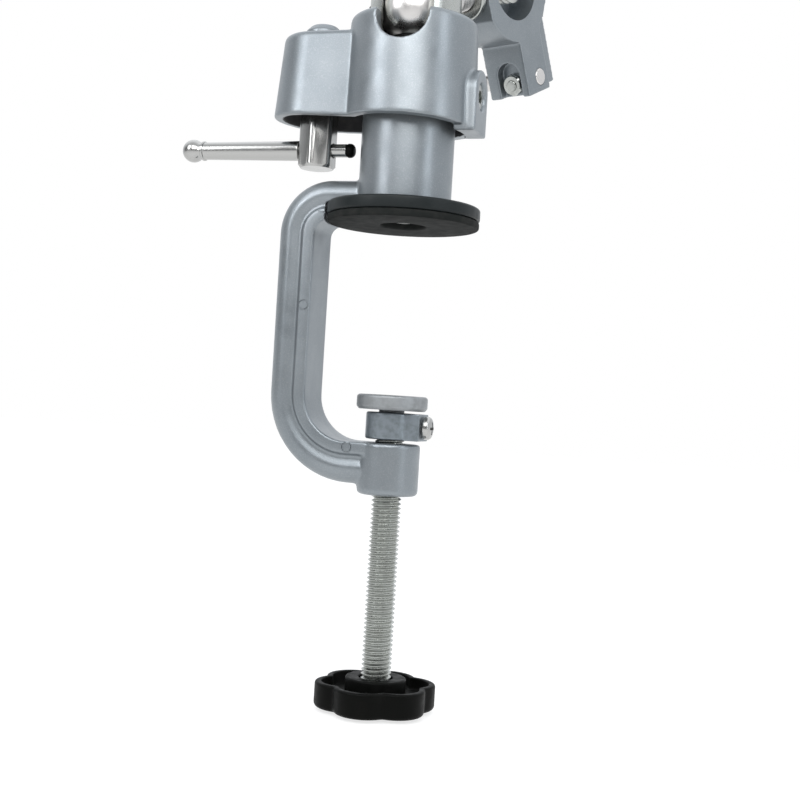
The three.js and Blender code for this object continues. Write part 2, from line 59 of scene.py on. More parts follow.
# The vise head's own axes: x along the jaw travel, z along the ball's stem, origin at the ball's centre.
HEAD = Matrix((TRAVEL, STEM.cross(TRAVEL), STEM)).transposed().to_4x4()
HEAD.translation = BALL
ALONG_X = Matrix.Rotation(math.pi / 2, 4, "Y")


class Span:
    """The box of a CAD node in millimetres, in the frame's axes or in those of a matrix."""

    def __init__(self, node, axes=None):
        to_local = (axes or Matrix.Identity(4)).inverted()
        points = [to_local @ (vertex.co / MM) for vertex in frame["nodes"][node].data.vertices]
        self.low = Vector([min(point[i] for point in points) for i in range(3)])
        self.high = Vector([max(point[i] for point in points) for i in range(3)])
        self.mid = (self.low + self.high) / 2
        self.size = self.high - self.low


# ---- shapes -----------------------------------------------------------------------------------------
class Shape:
    """Points and faces of one or more closed surfaces."""

    def __init__(self, points, faces):
        self.points = [Vector(point) for point in points]
        self.faces = faces

    def placed(self, matrix):
        return Shape([matrix @ point for point in self.points], self.faces)

    def moved(self, x=0, y=0, z=0):
        return self.placed(Matrix.Translation((x, y, z)))

    def __add__(self, other):
        shift = len(self.points)
        shifted = [[i + shift for i in face] for face in other.faces]
        return Shape(self.points + other.points, self.faces + shifted)


def fillet(corners, steps=6, closed=False):
    """A polyline whose corners (x, y, radius) are rounded by arcs of that radius."""
    result = []
    count = len(corners)
    for i, corner in enumerate(corners):
        here = Vector(corner[:2])
        radius = corner[2] if len(corner) > 2 else 0
        ends = not closed and i in (0, count - 1)
        if radius <= 0 or ends:
            result.append(tuple(here))
            continue
        before = (Vector(corners[i - 1][:2]) - here).normalized()
        after = (Vector(corners[(i + 1) % count][:2]) - here).normalized()
        half = before.angle(after) / 2
        if half > math.pi / 2 - 1e-3:
            result.append(tuple(here))
            continue
        centre = here + (before + after).normalized() * (radius / math.sin(half))
        start = here + before * (radius / math.tan(half)) - centre
        end = here + after * (radius / math.tan(half)) - centre
        turn = start.angle_signed(end)
        for k in range(steps + 1):
            angle = -turn * k / steps
            arm = Matrix.Rotation(angle, 2) @ start
            result.append(tuple(centre + arm))
    return result


def circle(r, sides, z=0.0, phase=0.0):
    angles = [phase + math.tau * i / sides for i in range(sides)]
    return [(r * math.cos(a), r * math.sin(a), z) for a in angles]


def loft(rings, loop=False):
    """A skin over rings of equal count, capped at both ends, or joined end to end if loop is set."""
    count = len(rings[0])
    points = [point for ring in rings for point in ring]
    faces = []
    last = len(rings) if loop else len(rings) - 1
    for j in range(last):
        low, high = j * count, ((j + 1) % len(rings)) * count
        for i in range(count):
            k = (i + 1) % count
            faces.append([low + i, low + k, high + k, high + i])
    if not loop:
        faces.append(list(range(count))[::-1])
        faces.append([(len(rings) - 1) * count + i for i in range(count)])
    return Shape(points, faces)


def lathe(profile, sides=FINE, loop=False):
    """A turned solid about Z from (radius, z) points running upwards on the outside."""
    return loft([circle(max(r, 0.01), sides, z) for r, z in profile], loop)


def turned(corners, sides=FINE, loop=False):
    """A turned solid whose profile has rounded corners (radius, z, fillet)."""
    return lathe(fillet(corners, closed=loop), sides, loop)


def prism(outline, low, high):
    """A flat outline, anticlockwise, standing from low to high."""
    return loft([[(x, y, z) for x, y in outline] for z in (low, high)])


def block(x0, x1, y0, y1, z0, z1):
    return prism([(x0, y0), (x1, y0), (x1, y1), (x0, y1)], z0, z1)


def drum(r, low, high, edge=0.0, sides=SMALL):
    """A cylinder with rounded ends."""
    return turned([(0, low), (r, low, edge), (r, high, edge), (0, high)], sides)


def tube(outer, inner, low, high, edge=0.3, sides=FINE):
    """A washer or bush with all its edges rounded."""
    corners = [(inner, low, edge), (outer, low, edge), (outer, high, edge), (inner, high, edge)]
    return turned(corners, sides, loop=True)


def polar(rings, sides=192):
    """A skin over rings given as (radius, z), where radius is a number or a function of the angle."""
    made = []
    for radius, z in rings:
        ring = []
        for i in range(sides):
            angle = math.tau * i / sides
            r = radius(angle) if callable(radius) else radius
            ring.append((r * math.cos(angle), r * math.sin(angle), z))
        made.append(ring)
    return loft(made)


def hexagon_bar(flats, low, high, chamfer=0.6, edge=0.25):
    """A hexagon bar along Z with corners on Y, its ends chamfered by turning."""
    corner_r = flats / math.sqrt(3)
    sides = 96

    def radius(angle, limit):
        sector = (angle + math.pi / 6) % (math.pi / 3) - math.pi / 6
        flat = flats / 2 / math.cos(sector)
        return min(flat, corner_r - edge, limit)

    rings = []
    turned_r = flats / 2 * 0.96
    for limit, z in (
        (turned_r, low),
        (corner_r, low + chamfer),
        (corner_r, high - chamfer),
        (turned_r, high),
    ):
        rings.append((lambda angle, limit=limit: radius(angle, limit), z))
    return polar(rings, sides)


def thread(major, pitch, low, high, sides=72):
    """A right-hand vee thread along Z: a grid that follows the helix, clipped square at both ends."""
    depth = THREAD_DEPTH * pitch
    lead_in = 1.0
    profile = ((0.0, 0.0), (0.12, 0.0), (0.5, 1.0), (0.62, 1.0))  # share of the pitch, share of the depth
    turns = int((high - low) / pitch) + 3
    rows = []
    for turn in range(-1, turns):
        for share, deep in profile:
            rows.append((low + (turn + share) * pitch, major - deep * depth))
    points = []
    for z_row, r_row in rows:
        for i in range(sides + 1):
            z = z_row + pitch * i / sides
            r = r_row
            inside = min(z - low, high - z)
            z = min(max(z, low), high)
            if inside < lead_in:
                r = min(r, major - depth + max(inside, 0) * depth / lead_in)
            angle = math.tau * i / sides
            points.append((r * math.cos(angle), r * math.sin(angle), z))
    count = sides + 1
    faces = []
    for j in range(len(rows) - 1):
        for i in range(sides):
            a = j * count + i
            faces.append([a, a + 1, a + 1 + count, a + count])
    return Shape(points, faces)


def threaded_rod(major, pitch, low, high, sides=72):
    """A thread round a solid core, whose ends close it."""
    core = major - THREAD_DEPTH * pitch
    filling = drum(core + 0.02, low - 0.01, high + 0.01, 0.15, sides)
    return thread(major, pitch, low, high, sides) + filling


# ---- objects --------------------------------------------------------------------------------------------
def raw(name, shape):
    mesh = bpy.data.meshes.new(name)
    mesh.from_pydata([tuple(point * MM) for point in shape.points], [], shape.faces)
    mesh.validate()
    mesh.update()
    obj = bpy.data.objects.new(name, mesh)
    bpy.context.scene.collection.objects.link(obj)
    return obj


def apply_modifiers(obj):
    evaluated = obj.evaluated_get(bpy.context.evaluated_depsgraph_get())
    mesh = bpy.data.meshes.new_from_object(evaluated)
    obj.modifiers.clear()
    old = obj.data
    obj.data = mesh
    bpy.data.meshes.remove(old)


def carve(obj, *shapes):
    """Cuts each shape out of the object."""
    for shape in shapes:
        tool = raw("tool", shape)
        modifier = obj.modifiers.new("carve", "BOOLEAN")
        modifier.object = tool
        modifier.operation = "DIFFERENCE"
        modifier.solver = "MANIFOLD"
        apply_modifiers(obj)
        bpy.data.objects.remove(tool)


def remesh(obj, voxel, rounds):
    """Melts overlapping solids into one skin and softens its edges, as a casting's are."""
    modifier = obj.modifiers.new("skin", "REMESH")
    modifier.mode = "VOXEL"
    modifier.voxel_size = voxel * MM
    modifier.use_smooth_shade = True
    soften = obj.modifiers.new("soften", "SMOOTH")
    soften.factor = 0.5
    soften.iterations = rounds
    apply_modifiers(obj)


def finish_piece(obj, material, body, nodes, sharp=32):
    """Shading, finish and place in the frame for one piece."""
    mesh = obj.data
    mesh.shade_smooth()
    if sharp:
        mesh.set_sharp_from_angle(angle=math.radians(sharp))
    mesh.materials.clear()
    mesh.materials.append(material)
    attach(obj, body)
    if nodes:
        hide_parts(*nodes)
    return obj


def piece(name, shape, look, body, *nodes, sharp=32):
    """A crisp machined or moulded piece. look is (material, record slot); its slot is not used."""
    material, slot = look
    return finish_piece(raw(name, shape), material, body, nodes, sharp)


def casting(name, solids, look, body, *nodes, rough_cuts=(), clean_cuts=(), voxel=0.4, rounds=8):
    """A cast piece: solids melted together, cuts as cast with soft edges, then machined cuts."""
    material, slot = look
    total = solids[0]
    for solid in solids[1:]:
        total = total + solid
    obj = raw(name, total)
    remesh(obj, voxel, 1 if rough_cuts else rounds)
    if rough_cuts:
        carve(obj, *rough_cuts)
        remesh(obj, voxel, rounds)
    carve(obj, *clean_cuts)
    return finish_piece(obj, material, body, nodes, sharp=60)


# ---- materials ----------------------------------------------------------------------------------------
class Look:
    """A Principled material with helpers for noise, bump and mixes on object coordinates."""

    def __init__(self, name, color, roughness, metallic=0.0, **sockets):
        self.material = bpy.data.materials.new(name)
        self.material.use_nodes = True
        self.nodes = self.material.node_tree.nodes
        self.links = self.material.node_tree.links
        self.shader = self.nodes["Principled BSDF"]
        self.shader.inputs["Base Color"].default_value = (*color, 1)
        self.shader.inputs["Roughness"].default_value = roughness
        self.shader.inputs["Metallic"].default_value = metallic
        for socket, value in sockets.items():
            self.shader.inputs[socket.replace("_", " ")].default_value = value
        self.coords = self.nodes.new("ShaderNodeTexCoord").outputs["Object"]
        self.color = color
        self.normal = None

    def noise(self, size, detail=3.0, stretch=(1, 1, 1)):
        """Noise whose features are about size millimetres across."""
        mapping = self.nodes.new("ShaderNodeMapping")
        mapping.inputs["Scale"].default_value = [s / (size * MM) for s in stretch]
        texture = self.nodes.new("ShaderNodeTexNoise")
        texture.inputs["Scale"].default_value = 1.0
        texture.inputs["Detail"].default_value = detail
        texture.inputs["Roughness"].default_value = 0.55
        self.links.new(self.coords, mapping.inputs["Vector"])
        self.links.new(mapping.outputs["Vector"], texture.inputs["Vector"])
        return texture.outputs["Fac"]

    def ramp(self, source, low, high, to_low=0.0, to_high=1.0):
        node = self.nodes.new("ShaderNodeMapRange")
        node.inputs["From Min"].default_value = low
        node.inputs["From Max"].default_value = high
        node.inputs["To Min"].default_value = to_low
        node.inputs["To Max"].default_value = to_high
        self.links.new(source, node.inputs["Value"])
        return node.outputs["Result"]

    def bump(self, source, height, strength=1.0):
        """Bump of about height millimetres."""
        node = self.nodes.new("ShaderNodeBump")
        node.inputs["Strength"].default_value = strength
        node.inputs["Distance"].default_value = height * MM
        self.links.new(source, node.inputs["Height"])
        if self.normal:
            self.links.new(self.normal, node.inputs["Normal"])
        self.normal = node.outputs["Normal"]
        self.links.new(self.normal, self.shader.inputs["Normal"])
        return self

    def tint(self, source, color):
        """Mixes the base colour towards another by a 0 to 1 source."""
        node = self.nodes.new("ShaderNodeMix")
        node.data_type = "RGBA"
        node.inputs["A"].default_value = (*self.color, 1)
        node.inputs["B"].default_value = (*color, 1)
        existing = self.shader.inputs["Base Color"].links
        if existing:
            self.links.new(existing[0].from_socket, node.inputs["A"])
        self.links.new(source, node.inputs["Factor"])
        self.links.new(node.outputs["Result"], self.shader.inputs["Base Color"])
        return self

    def vary_roughness(self, source, low, high):
        self.links.new(self.ramp(source, 0.3, 0.7, low, high), self.shader.inputs["Roughness"])
        return self

    def edges(self, color, start=0.53, end=0.6):
        """Lightens convex edges by pointiness: a painted highlight along them."""
        geometry = self.nodes.new("ShaderNodeNewGeometry")
        return self.tint(self.ramp(geometry.outputs["Pointiness"], start, end), color)


def painted_casting():
    look = Look("silver_grey_paint", (0.245, 0.27, 0.288), 0.38, 0.8, Coat_Weight=0.08, Coat_Roughness=0.25)
    look.tint(look.ramp(look.noise(22, 4), 0.35, 0.7), (0.205, 0.23, 0.248))
    look.tint(look.ramp(look.noise(0.35, 2), 0.5, 0.8, 0, 0.5), (0.38, 0.39, 0.405))
    look.vary_roughness(look.noise(6, 3), 0.33, 0.44)
    look.bump(look.noise(3.2, 3), 0.05, 0.5)
    look.bump(look.noise(0.5, 2), 0.012, 0.6)
    return look.material


# Painted shade: a near-black material standing in for the shade inside the housing's bore and lobe.
def cavity_shade_material():
    look = Look("painted_cavity_shade", (0.035, 0.035, 0.037), 0.7, 0.2)
    look.tint(look.ramp(look.noise(4, 4), 0.45, 0.75), (0.06, 0.058, 0.056))
    look.bump(look.noise(1.2, 3), 0.06, 0.6)
    return look.material


def cast_aluminium():
    look = Look("cast_aluminium", (0.30, 0.315, 0.325), 0.42, 0.85)
    look.tint(look.ramp(look.noise(2.5, 4), 0.4, 0.75), (0.24, 0.25, 0.255))
    look.vary_roughness(look.noise(1.5, 3), 0.42, 0.6)
    look.bump(look.noise(0.7, 4), 0.05, 0.7)
    return look.material


def grey_collar():
    look = Look("grey_phosphate", (0.225, 0.255, 0.28), 0.38, 0.75)
    look.tint(look.ramp(look.noise(1.5, 3), 0.4, 0.7), (0.17, 0.195, 0.21))
    look.bump(look.noise(0.5, 3), 0.02, 0.6)
    return look.material


def rubber():
    look = Look("black_rubber", (0.011, 0.0125, 0.012), 0.78, Specular_IOR_Level=0.08)
    look.tint(look.ramp(look.noise(3, 4), 0.4, 0.8), (0.022, 0.022, 0.021))
    look.vary_roughness(look.noise(5, 3), 0.7, 0.88)
    look.bump(look.noise(0.4, 3), 0.03, 0.7)
    return look.material


def black_paint():
    look = Look("black_lacquer", (0.009, 0.012, 0.0125), 0.42, 0.0, Specular_IOR_Level=0.2)
    look.vary_roughness(look.noise(4, 3), 0.33, 0.5)
    look.bump(look.noise(0.6, 3), 0.012, 0.5)
    # Convex edges lightened as a painted highlight.
    look.edges((0.04, 0.04, 0.042))
    return look.material


def black_plastic():
    look = Look("black_plastic", (0.0028, 0.003, 0.0026), 0.42, Specular_IOR_Level=0.06)
    look.tint(look.ramp(look.noise(5, 3), 0.45, 0.8), (0.0045, 0.0045, 0.004))
    look.vary_roughness(look.noise(2.5, 4), 0.34, 0.55)
    look.bump(look.noise(0.35, 2), 0.012, 0.6)
    # Convex edges lightened as a painted highlight.
    look.edges((0.014, 0.014, 0.014), 0.54, 0.66)
    return look.material


def chrome():
    look = Look("chrome_plate", (0.42, 0.42, 0.41), 0.22, 1.0)
    look.vary_roughness(look.noise(5, 3), 0.19, 0.26)
    look.bump(look.noise(2.2, 2), 0.006, 0.5)
    return look.material


def polished():
    look = Look("polished_steel", (0.64, 0.625, 0.61), 0.28, 1.0)
    look.vary_roughness(look.noise(6, 3), 0.25, 0.32)
    look.bump(look.noise(0.3, 3), 0.0004, 0.6)
    return look.material


def zinc():
    look = Look("bright_zinc", (0.46, 0.475, 0.455), 0.28, 1.0)
    look.tint(look.ramp(look.noise(4, 3), 0.4, 0.8), (0.39, 0.40, 0.38))
    look.vary_roughness(look.noise(2.5, 3), 0.22, 0.34)
    look.bump(look.noise(0.6, 2), 0.003, 0.5)
    return look.material


def ground_steel():
    look = Look("ground_steel", (0.56, 0.56, 0.565), 0.26, 1.0)
    look.vary_roughness(look.noise(0.25, 4, stretch=(1, 0.03, 1)), 0.18, 0.4)
    look.bump(look.noise(0.2, 3, stretch=(1, 0.02, 1)), 0.004, 0.7)
    return look.material


PAINT = (painted_casting(), "painted_casting")
# Painted shade for the housing's cavity.
CAVITY_SHADE = cavity_shade_material()
CAST = (cast_aluminium(), "bare_casting")
COLLAR = (grey_collar(), "grey_collar")
RUBBER = (rubber(), "black_rubber")
LACQUER = (black_paint(), "black_plate")
PLASTIC = (black_plastic(), "black_plastic")
CHROME = (chrome(), "chrome_steel")
POLISHED = (polished(), "polished_steel")
ZINC = (zinc(), "zinc_steel")
GROUND = (ground_steel(), "jaw_steel")

# ---- C-clamp --------------------------------------------------------------------------------------------
clamp = Span("clamp_frame")
plate = Span("pad_plate")
pad = Span("top_pad")
disc = Span("swivel_disc")
collar = Span("disc_collar")
knob = Span("star_knob")
screw = Span("clamp_screw")

POST_R = clamp.size.y / 2
POST_FOOT = plate.high.z + 0.3
NECK = {"bottom": 44.8, "top": 55.5, "r": 7.0, "head_r": 9.5}
SPINE = {"inner": -28.0, "thick": 14.0, "arm": 0.6, "heel": -71.5, "corner_r": 4.0, "heel_r": 15.0}
BOSS_R = 10.1
SCREW_R = 5.0
PITCH = 1.5


def c_path(arc_steps=14):
    """Points along the C's inner face with the way outwards, from the post round to the screw boss."""
    corner_x, corner_z = SPINE["inner"] + SPINE["corner_r"], SPINE["arm"] - SPINE["corner_r"]
    heel_x, heel_z = SPINE["inner"] + SPINE["heel_r"], SPINE["heel"] + SPINE["heel_r"]
    stations = [(Vector((0, 0, SPINE["arm"])), Vector((0, 0, 1)))]
    for x, z, r, start in (
        (corner_x, corner_z, SPINE["corner_r"], math.pi / 2),
        (heel_x, heel_z, SPINE["heel_r"], math.pi),
    ):
        for k in range(arc_steps + 1):
            angle = start + math.pi / 2 * k / arc_steps
            out = Vector((math.cos(angle), 0, math.sin(angle)))
            stations.append((Vector((x, 0, z)) + out * r, out))
    stations.append((Vector((0, 0, SPINE["heel"])), Vector((0, 0, -1))))
    return stations


def c_section():
    """The C's section as (outwards, across): flat inner flange, groove, rounded outer flange."""
    thick = SPINE["thick"]
    side = [
        (0, 8.5, 0.6), (4.0, 8.5, 0.5), (4.6, 6.9, 0.5),
        (5.7, 6.8, 0.8), (8.6, 7.8, 2.5), (thick, 6.9, 5.4),
    ]
    mirrored = [(out, -across, r) for out, across, r in reversed(side)]
    return fillet(side + mirrored, steps=5, closed=True)


def clamp_frame():
    section = c_section()
    rings = []
    for base, out in c_path():
        rings.append([base + out * o + Vector((0, across, 0)) for o, across in section])
    post = turned([
        (0, POST_FOOT), (POST_R, POST_FOOT, 0.4), (POST_R, NECK["bottom"], 0.8),
        (NECK["r"], NECK["bottom"]), (NECK["r"], NECK["top"]), (NECK["head_r"], NECK["top"]),
        (NECK["head_r"], clamp.high.z), (0, clamp.high.z),
    ])
    low, heel = clamp.low.z, SPINE["heel"]
    boss = turned([(0, low), (BOSS_R, low, 1.6), (BOSS_R, heel, 0.9), (0, heel)])
    ejector_marks = []
    for x, z in ((-30.1, -27.6), (-25.4, 4.6), (-12.0, -73.5)):
        mark = tube(1.85, 1.3, -0.35, 0.35, 0.0, 32).placed(Matrix.Rotation(math.pi / 2, 4, "X"))
        ejector_marks.append(mark.moved(x, -8.5, z))
    pocket = drum(plate.size.x / 2 + 0.6, -20, POST_FOOT, 0, FINE)
    hole = drum(SCREW_R + 0.15, low - 2, heel + 2, 0, SMALL)
    return casting(
        "frame_casting", [loft(rings), post, boss], PAINT, "frame", "clamp_frame",
        rough_cuts=[pocket], clean_cuts=ejector_marks + [hole], voxel=0.42, rounds=7,
    )


def upper_pad():
    hole_r = 7.5
    rubber_ring = tube(pad.size.x / 2 - 0.15, hole_r, pad.low.z, pad.high.z, 0.7)
    piece("upper_pad", rubber_ring, RUBBER, "frame", "top_pad")
    backing = tube(plate.size.x / 2, hole_r + 0.6, plate.low.z - 0.2, plate.high.z, 0.9)
    piece("pad_backing", backing, LACQUER, "frame", "pad_plate")
    fixing = Span("pad_screw")
    head_top = 3.4
    head = turned([(0, fixing.low.z), (3.6, fixing.low.z, 0.5), (4.4, head_top, 0.2), (0, head_top)], SMALL)
    obj = raw("pad_fixing", drum(fixing.size.x / 2, 3.3, fixing.high.z, 0.3, SMALL) + head)
    remesh(obj, 0.16, 2)
    carve(obj, hexagon_bar(4, fixing.low.z - 1, fixing.low.z + 1.4, 0.01, 0.0))
    finish_piece(obj, ZINC[0], "frame", ["pad_screw"])


def disc_and_collar():
    r = disc.size.x / 2
    stem_r, rim_low = 4.2, -60.6
    profile = [
        (0, disc.low.z), (stem_r, disc.low.z), (stem_r, rim_low), (r - 0.8, rim_low, 0.5),
        (r, rim_low + 1.0, 0.8), (r, disc.high.z, 1.1), (r - 3, disc.high.z - 0.02), (0, disc.high.z - 0.05),
    ]
    piece("swivel_disc_cast", turned(profile), CAST, "clamp_disc", "swivel_disc", sharp=40)

    mid = collar.mid.z
    r_collar = collar.size.y / 2
    barrel = turned([(0, collar.low.z), (r_collar, collar.low.z, 0.7), (r_collar, collar.high.z, 0.7),
                     (0, collar.high.z)])
    lug = block(0, collar.high.x, -5.4, 5.4, collar.low.z + 0.05, collar.high.z - 0.05)
    obj = raw("collar_body", barrel + lug)
    remesh(obj, 0.22, 4)
    carve(obj, drum(SCREW_R + 0.25, collar.low.z - 1, collar.high.z + 1, 0),
          drum(2.05, 2, collar.high.x + 1, 0, 32).placed(ALONG_X).moved(z=mid))
    finish_piece(obj, COLLAR[0], "clamp_screw", ["disc_collar"], 38)

    pan = Span("collar_screw")
    head_left = pan.high.x - 2.4
    dome = fillet([
        (0, head_left), (3.8, head_left, 0.2), (3.8, pan.high.x - 0.5, 1.3),
        (1.6, pan.high.x, 1.5), (0, pan.high.x),
    ])
    obj = raw("collar_pan_screw", lathe(dome, SMALL).placed(ALONG_X))
    slot_left, slot_right = pan.high.x - 1.1, pan.high.x + 1
    for w, h in ((2.1, 0.42), (0.42, 2.1)):
        carve(obj, block(slot_left, slot_right, -w, w, -h, h))
    obj.data.transform(Matrix.Translation((0, 0, mid * MM)))
    finish_piece(obj, CHROME[0], "clamp_screw", ["collar_screw"])
    shank = drum(1.7, 5, head_left + 0.2, 0, 32).placed(ALONG_X).moved(z=mid)
    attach(finish_shank("collar_screw_shank", shank), "clamp_screw")


def finish_shank(name, shape):
    obj = raw(name, shape)
    obj.data.shade_smooth()
    obj.data.set_sharp_from_angle(angle=0.6)
    obj.data.materials.append(CHROME[0])
    return obj


def star(inset):
    """Radius of the star knob's outline as a function of the angle: broad lobes, narrow valleys."""
    lobes, turn, valley_r, rise, blend, power = 6, math.radians(-32.5), 16.3, 3.7, 0.03, 0.32

    def radius(angle):
        wave = math.cos(lobes / 2 * (angle - turn)) ** 2
        return valley_r + rise * (wave + blend) ** power - inset

    return radius


def star_knob():
    rim_top, wall, depth = -150.2, 2.2, 4.0
    low_edge, top_edge, inner_edge, steps = 1.6, 0.9, 0.5, 6
    web = rim_top - depth
    quarter = [math.pi / 2 * k / steps for k in range(steps + 1)]
    rings = [(star(7.0), knob.low.z)]
    for a in quarter:
        rings.append((star(low_edge * (1 - math.sin(a))), knob.low.z + low_edge * (1 - math.cos(a))))
    for a in quarter:
        rings.append((star(top_edge * (1 - math.cos(a))), rim_top - top_edge * (1 - math.sin(a))))
    for a in quarter:
        inset = wall - inner_edge * (1 - math.sin(a))
        rings.append((star(inset), rim_top - inner_edge * (1 - math.cos(a))))
    rings += [(star(wall + 0.3), web + 1.0), (star(wall + 0.6), web + 0.3), (star(wall + 1.2), web)]
    hub_r, hole_r = 10.0, 5.65
    rings += fillet([
        (hub_r + 0.9, web), (hub_r + 0.1, web, 0.6), (hub_r, knob.high.z, 0.7),
        (hole_r, knob.high.z, 0.5), (hole_r, knob.high.z - 4),
    ], 5)
    piece("knob_star", polar(rings, 288), PLASTIC, "clamp_screw", "star_knob", sharp=40)


def clamp_screw():
    shape = threaded_rod(SCREW_R - 0.04, PITCH, screw.low.z, screw.high.z)
    piece("clamp_screw_thread", shape, ZINC, "clamp_screw", "clamp_screw", sharp=25)


# ---- ball housing ---------------------------------------------------------------------------------------
housing = Span("housing")
ring = Span("retaining_ring")
LOBE_X = -31.8
BORE_R = 18.6
SEAT_R = 12.8
RING_R = ring.size.x / 2
HOUSE = {
    "bottom": 31.5, "under": 33.0, "slope": 0.0437, "rim": 67.5,
    "foot_r": 22.3, "rim_r": 20.9, "lobe_top": 62.5,
}
LOBE_R = {"foot": 15.2, "top": 12.9, "wall": 3.0}
EAR = {"half": 7.4, "bottom": 30.4, "top": 51.0}
NOTCHES = ((8.6, 56.7, -85), (10.5, 62.5, 75))  # half width, lowest point, azimuth


def stadium(r, z, sides=64):
    """The outline of the lobe: a round end about LOBE_X and straight sides to the barrel's axis."""
    ring_points = [(LOBE_X + r * math.cos(a), r * math.sin(a), z)
                   for a in (math.pi / 2 + math.pi * i / sides for i in range(sides + 1))]
    ring_points += [(0, -r, z), (0, r, z)]
    return ring_points


def notch(half, bottom, azimuth, grow=0.0):
    outline = [(half + grow, 100), (-half - grow, 100)]
    for k in range(25):
        angle = math.pi + math.pi * k / 24
        outline.append(((half + grow) * math.cos(angle), bottom + half + (half + grow) * math.sin(angle)))
    tool = prism(outline, 0, 40).placed(Matrix.Rotation(math.pi / 2, 4, "X"))
    return tool.placed(Matrix.Rotation(math.radians(azimuth + 90), 4, "Z"))


def arched_ear():
    half, top = EAR["half"], EAR["top"]
    outline = [(-half, EAR["bottom"]), (half, EAR["bottom"])]
    for k in range(33):
        angle = math.pi * k / 32
        outline.append((half * math.cos(angle), top - half + half * math.sin(angle)))
    ear = prism(outline, 8, housing.high.x)
    upright = ear.placed(Matrix.Rotation(math.pi / 2, 4, "X"))
    return upright.placed(Matrix.Rotation(math.pi / 2, 4, "Z"))


def sloped(shape):
    """Shears a shape's foot so that its underside rises towards the lobe."""
    fade = 8.5
    points = []
    for x, y, z in shape.points:
        share = min(max((HOUSE["bottom"] + fade - z) / fade, 0.0), 1.0)
        points.append((x, y, z + share * (HOUSE["under"] - HOUSE["slope"] * x - HOUSE["bottom"])))
    return Shape(points, shape.faces)


def ball_housing():
    low, rim, lobe_top = HOUSE["bottom"], HOUSE["rim"], HOUSE["lobe_top"]
    barrel = turned([(0, low), (HOUSE["foot_r"], low, 0.5), (HOUSE["rim_r"], rim, 2.0), (0, rim)])
    foot_r, top_r = LOBE_R["foot"], LOBE_R["top"]
    lobe_profile = fillet([(0, low), (foot_r, low, 0.5), (top_r, lobe_top, 2.2), (4, lobe_top)])
    lobe = loft([stadium(r, z) for r, z in lobe_profile if r > 3])
    stud_boss = drum(7.4, lobe_top - 1, lobe_top + 0.9, 0.4).moved(x=LOBE_X)
    wall = LOBE_R["wall"]
    hollow = loft([stadium(foot_r - wall, low - 1), stadium(top_r - wall, lobe_top - wall)])
    roof = ring.low.z - 1
    screw_box = Span("pivot_screw")
    screw_z = screw_box.mid.z
    head_r = screw_box.size.z / 2
    recess, mouth, cone = 21.4, 23.9, 24.9
    bore = drum(BORE_R, EAR["bottom"] - 1, roof, 0, FINE)
    obj = casting(
        "housing_casting", [sloped(barrel), sloped(lobe), stud_boss, arched_ear()],
        PAINT, "ball_housing", "housing",
        rough_cuts=[bore, hollow] + [notch(*n) for n in NOTCHES],
        clean_cuts=[
            drum(RING_R + 0.25, roof - 1, rim + 1, 0, FINE),
            drum(4.1, lobe_top - 10, lobe_top + 5, 0).moved(x=LOBE_X),
            drum(2.9, 8, housing.high.x + 1, 0).placed(ALONG_X).moved(z=screw_z),
            turned([
                (0, recess), (head_r + 0.3, recess), (head_r + 0.3, mouth), (head_r + 1.3, cone), (0, cone),
            ], SMALL).placed(ALONG_X).moved(z=screw_z),
        ],
        voxel=0.36, rounds=6,
    )
    # The cavity inside the bore and the lobe gets painted shade.
    paint_cavity_shade(obj)


def paint_cavity_shade(obj):
    """Gives the cavity's faces a darker material, as painted shade inside the bore and the lobe."""
    mesh = obj.data
    mesh.materials.append(CAVITY_SHADE)
    for polygon in mesh.polygons:
        x, y, z = (c / MM for c in polygon.center)
        in_bore = math.hypot(x, y) < BORE_R + 0.25 and z < ring.low.z
        reach = LOBE_R["foot"] - LOBE_R["wall"] + 0.35 - 2.0 * (z - HOUSE["bottom"]) / 28
        in_lobe = x < 0 and z < HOUSE["lobe_top"] - 2.6 and math.hypot(min(x - LOBE_X, 0), y) < reach
        if in_bore or in_lobe:
            polygon.material_index = 1


def retaining_ring():
    outer = [(SEAT_R, ring.low.z), (RING_R, ring.low.z, 0.3), (RING_R, ring.high.z, 1.0), (11.3, ring.high.z)]
    inner = []
    steps = 10
    top_angle = math.asin((ring.high.z - BALL.z) / SEAT_R)
    for k in range(steps + 1):
        angle = top_angle * (1 - k / steps)
        inner.append((SEAT_R * math.cos(angle), BALL.z + SEAT_R * math.sin(angle)))
    profile = fillet(outer, 5) + inner
    obj = raw("ball_ring", lathe(profile, FINE, loop=True))
    carve(obj, *[notch(*n) for n in NOTCHES])
    finish_piece(obj, ZINC[0], "ball_housing", ["retaining_ring"])


